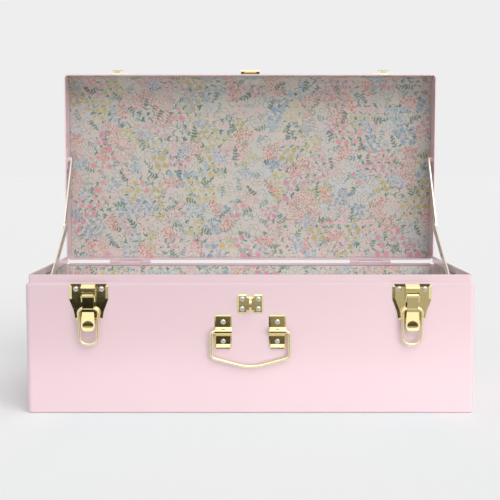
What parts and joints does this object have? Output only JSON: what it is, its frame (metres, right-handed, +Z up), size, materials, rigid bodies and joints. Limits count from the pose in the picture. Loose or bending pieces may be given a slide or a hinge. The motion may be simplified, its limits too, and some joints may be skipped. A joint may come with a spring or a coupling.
{
  "type": "steel keepsake trunk",
  "caption": "Small pressed steel trunk, lid open on two stays, with draw latches, hasp, staple and front bail handle, floral paper lining inside.",
  "frame": {"origin": "centre of the underside", "axes": "+X to the right of someone facing the latches, -Y is the front, +Z is up"},
  "size_m": [0.53, 0.3265, 0.4333],
  "materials": {
    "pink_steel": "satin powder coat, pale pink",
    "brass": "polished brass plate",
    "nickel": "bright nickel plate",
    "stay_steel": "satin champagne plated steel",
    "printed_card": "matt paper covered card with a small floral print"
  },
  "bodies": {
    "base": {"base_body": "pink_steel", "base_floor_panel": "pink_steel", "base_liner_floor": "printed_card", "base_liner_front": "printed_card", "base_liner_back": "printed_card", "base_liner_left": "printed_card", "base_liner_right": "printed_card", "latch_plate_left": "brass", "latch_plate_right": "brass", "latch_rivets_left": "nickel", "latch_rivets_right": "nickel", "latch_pivot_pin_left": "nickel", "latch_pivot_pin_right": "nickel", "staple": "brass", "staple_rivets": "nickel", "handle_bracket_left": "brass", "handle_bracket_right": "brass", "handle_rivets_left": "nickel", "handle_rivets_right": "nickel", "hinge_leaf_base_left": "pink_steel", "hinge_leaf_base_right": "pink_steel", "hinge_pin_left": "nickel", "hinge_pin_right": "nickel", "hinge_rivets_base": "pink_steel", "stay_base_rivet_left": "stay_steel", "stay_base_rivet_right": "stay_steel"},
    "lid": {"lid_shell": "pink_steel", "lid_liner": "printed_card", "hinge_leaf_lid_left": "pink_steel", "hinge_leaf_lid_right": "pink_steel", "hinge_rivets_lid": "pink_steel", "keeper_left": "brass", "keeper_right": "brass", "keeper_rivets": "nickel", "hasp_plate": "brass", "hasp_rivets": "nickel", "hasp_pin": "nickel", "stay_bracket_left": "pink_steel", "stay_bracket_right": "pink_steel", "stay_lid_rivet_left": "stay_steel", "stay_lid_rivet_right": "stay_steel"},
    "hasp": {"hasp_strap": "brass"},
    "handle": {"handle_bail": "brass"},
    "lever_left": {"latch_lever_left": "brass"},
    "loop_left": {"latch_loop_left": "brass"},
    "stay_lower_left": {"stay_lower_arm_left": "stay_steel", "stay_joint_rivet_left": "stay_steel"},
    "stay_upper_left": {"stay_upper_arm_left": "stay_steel", "stay_joint_cap_left": "stay_steel"},
    "lever_right": {"latch_lever_right": "brass"},
    "loop_right": {"latch_loop_right": "brass"},
    "stay_lower_right": {"stay_lower_arm_right": "stay_steel", "stay_joint_rivet_right": "stay_steel"},
    "stay_upper_right": {"stay_upper_arm_right": "stay_steel", "stay_joint_cap_right": "stay_steel"}
  },
  "joints": [
    {"name": "lid_hinge", "type": "hinge", "parent": "base", "child": "lid", "pos_m": [0, 0.1361, 0.1547], "axis": [1, 0, 0], "range_deg": [0, 90]},
    {"name": "hasp_hinge", "type": "hinge", "parent": "lid", "child": "hasp", "pos_m": [0, 0.1396, 0.4272], "axis": [1, 0, 0], "range_deg": [0, 172]},
    {"name": "handle_pivot", "type": "hinge", "parent": "base", "child": "handle", "pos_m": [0, -0.1361, 0.0979], "axis": [-1, 0, 0], "range_deg": [0, 160]},
    {"name": "latch_lever_pivot_left", "type": "hinge", "parent": "base", "child": "lever_left", "pos_m": [-0.19, -0.1385, 0.141], "axis": [1, 0, 0], "range_deg": [-120, 0]},
    {"name": "latch_loop_pivot_left", "type": "hinge", "parent": "lever_left", "child": "loop_left", "pos_m": [-0.19, -0.1377, 0.1255], "axis": [-1, 0, 0], "range_deg": [0, 182.5]},
    {"name": "stay_lower_pivot_left", "type": "hinge", "parent": "base", "child": "stay_lower_left", "pos_m": [-0.2571, -0.0175, 0.149], "axis": [1, 0, 0], "range_deg": [-20.61, 0]},
    {"name": "stay_upper_pivot_left", "type": "hinge", "parent": "lid", "child": "stay_upper_left", "pos_m": [-0.2571, 0.1546, 0.3017], "axis": [1, 0, 0], "range_deg": [0, 32.85]},
    {"name": "latch_lever_pivot_right", "type": "hinge", "parent": "base", "child": "lever_right", "pos_m": [0.19, -0.1385, 0.141], "axis": [1, 0, 0], "range_deg": [-120, 0]},
    {"name": "latch_loop_pivot_right", "type": "hinge", "parent": "lever_right", "child": "loop_right", "pos_m": [0.19, -0.1377, 0.1255], "axis": [-1, 0, 0], "range_deg": [0, 182.5]},
    {"name": "stay_lower_pivot_right", "type": "hinge", "parent": "base", "child": "stay_lower_right", "pos_m": [0.2571, -0.0175, 0.149], "axis": [1, 0, 0], "range_deg": [-20.61, 0]},
    {"name": "stay_upper_pivot_right", "type": "hinge", "parent": "lid", "child": "stay_upper_right", "pos_m": [0.2571, 0.1546, 0.3017], "axis": [1, 0, 0], "range_deg": [0, 32.85]}
  ],
  "couplings": [
    {"joint": "stay_lower_pivot_left", "follows": "lid_hinge", "ratio": -0.22877},
    {"joint": "stay_upper_pivot_left", "follows": "lid_hinge", "ratio": 0.36465},
    {"joint": "stay_lower_pivot_right", "follows": "lid_hinge", "ratio": -0.22877},
    {"joint": "stay_upper_pivot_right", "follows": "lid_hinge", "ratio": 0.36465}
  ]
}
